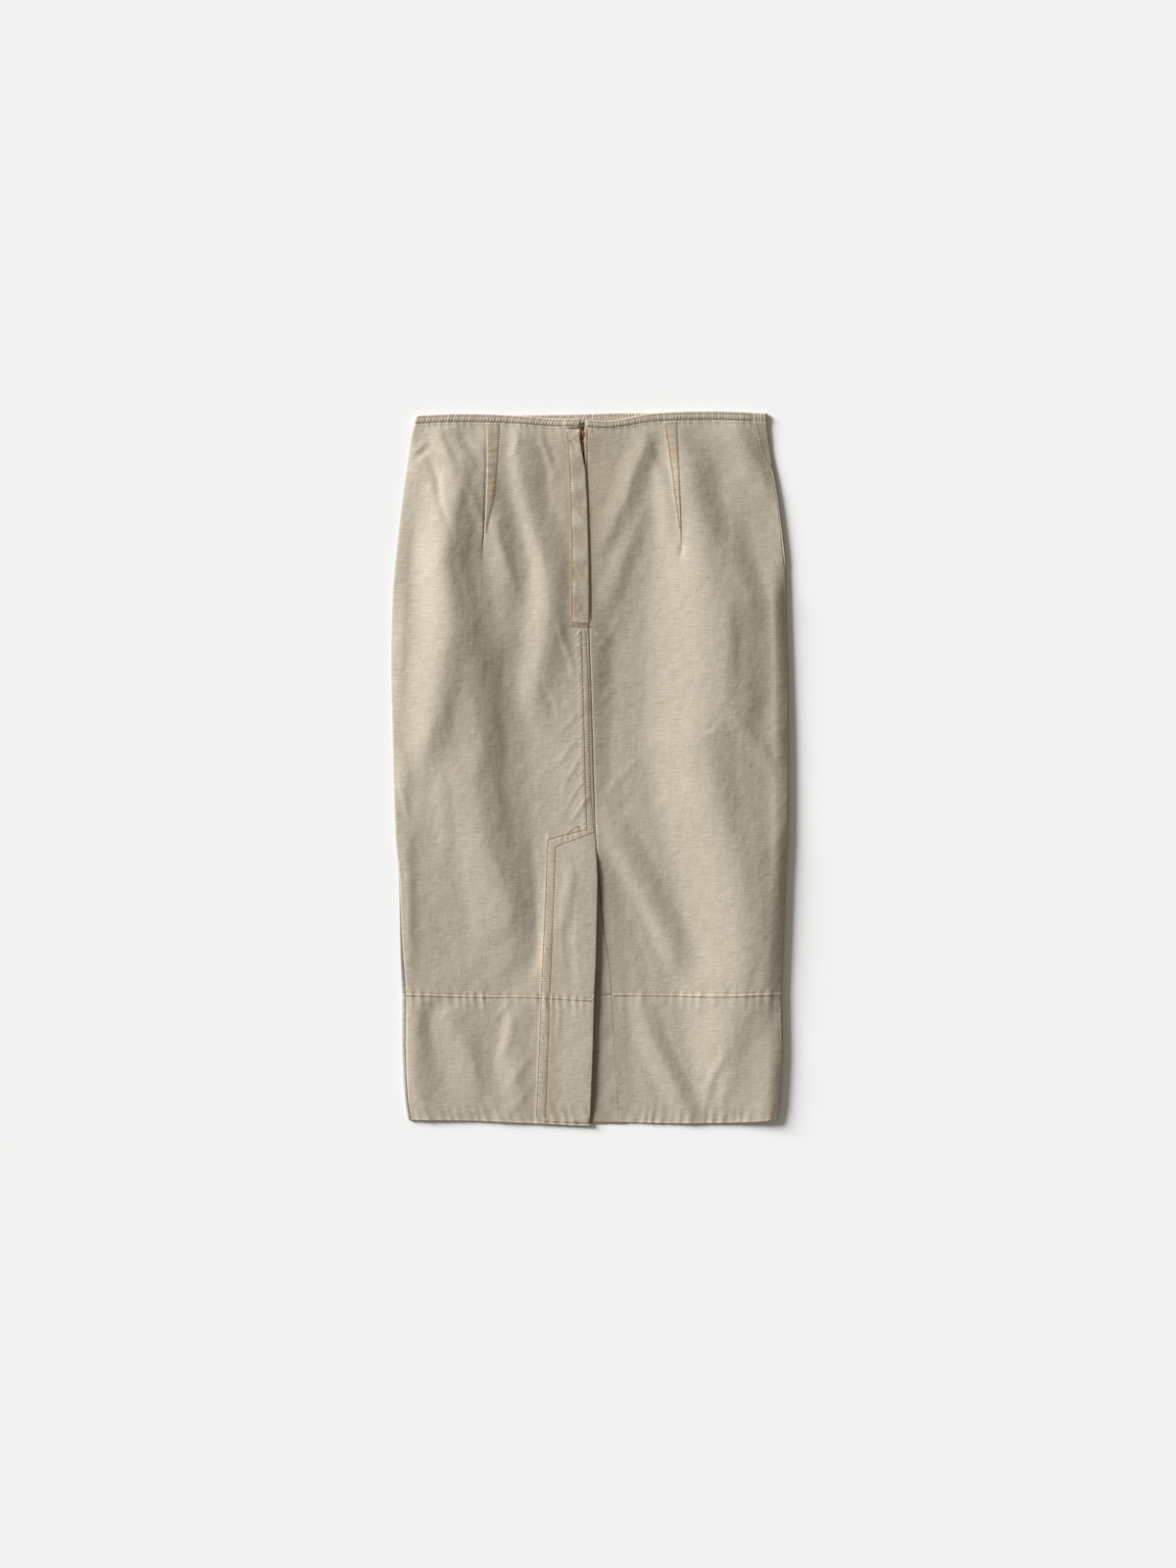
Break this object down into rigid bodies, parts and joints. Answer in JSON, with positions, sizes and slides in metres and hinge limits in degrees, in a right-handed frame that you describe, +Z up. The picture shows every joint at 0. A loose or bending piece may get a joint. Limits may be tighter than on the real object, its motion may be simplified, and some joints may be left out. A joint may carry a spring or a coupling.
{
  "type": "long fitted skirt",
  "caption": "Long fitted cotton canvas skirt lying flat, back up: narrow waist binding, darts, zip under a placket, back vent and deep hem band.",
  "frame": {"origin": "on the surface that it lies on, under the middle of its outline", "axes": "+Z up out of the back of the skirt, +Y from the hem to the waist, +X to the right as seen from above"},
  "size_m": [0.446, 0.7996, 0.0078],
  "materials": {
    "canvas": "washed cotton canvas with slubs, matt",
    "canvas_underlay": "washed cotton canvas, matt",
    "zip_tape": "woven tape, matt",
    "zip_brass": "aged copper brass, satin"
  },
  "bodies": {
    "skirt": {"front_panel": "canvas", "front_hem_band": "canvas", "back_left_panel": "canvas", "back_left_hem_band": "canvas", "back_right_panel": "canvas", "back_right_hem_band": "canvas", "vent_facing": "canvas", "vent_underlay": "canvas_underlay", "vent_underlay_hem_band": "canvas_underlay", "waist_binding_front": "canvas", "waist_binding_back_left": "canvas", "waist_binding_back_right": "canvas", "zip_placket": "canvas", "zip_tape_left": "zip_tape", "zip_tape_right": "zip_tape", "zip_chain": "zip_brass", "zip_slider": "zip_brass", "zip_top_stop_left": "zip_brass", "zip_top_stop_right": "zip_brass"},
    "pull_tab": {"zip_pull_tab": "zip_brass"}
  },
  "joints": [
    {"name": "pull_tab_swing", "type": "hinge", "parent": "skirt", "child": "pull_tab", "pos_m": [-0.0078, 0.374, 0.00599], "axis": [-1, 0, 0], "range_deg": [0, 160]}
  ]
}
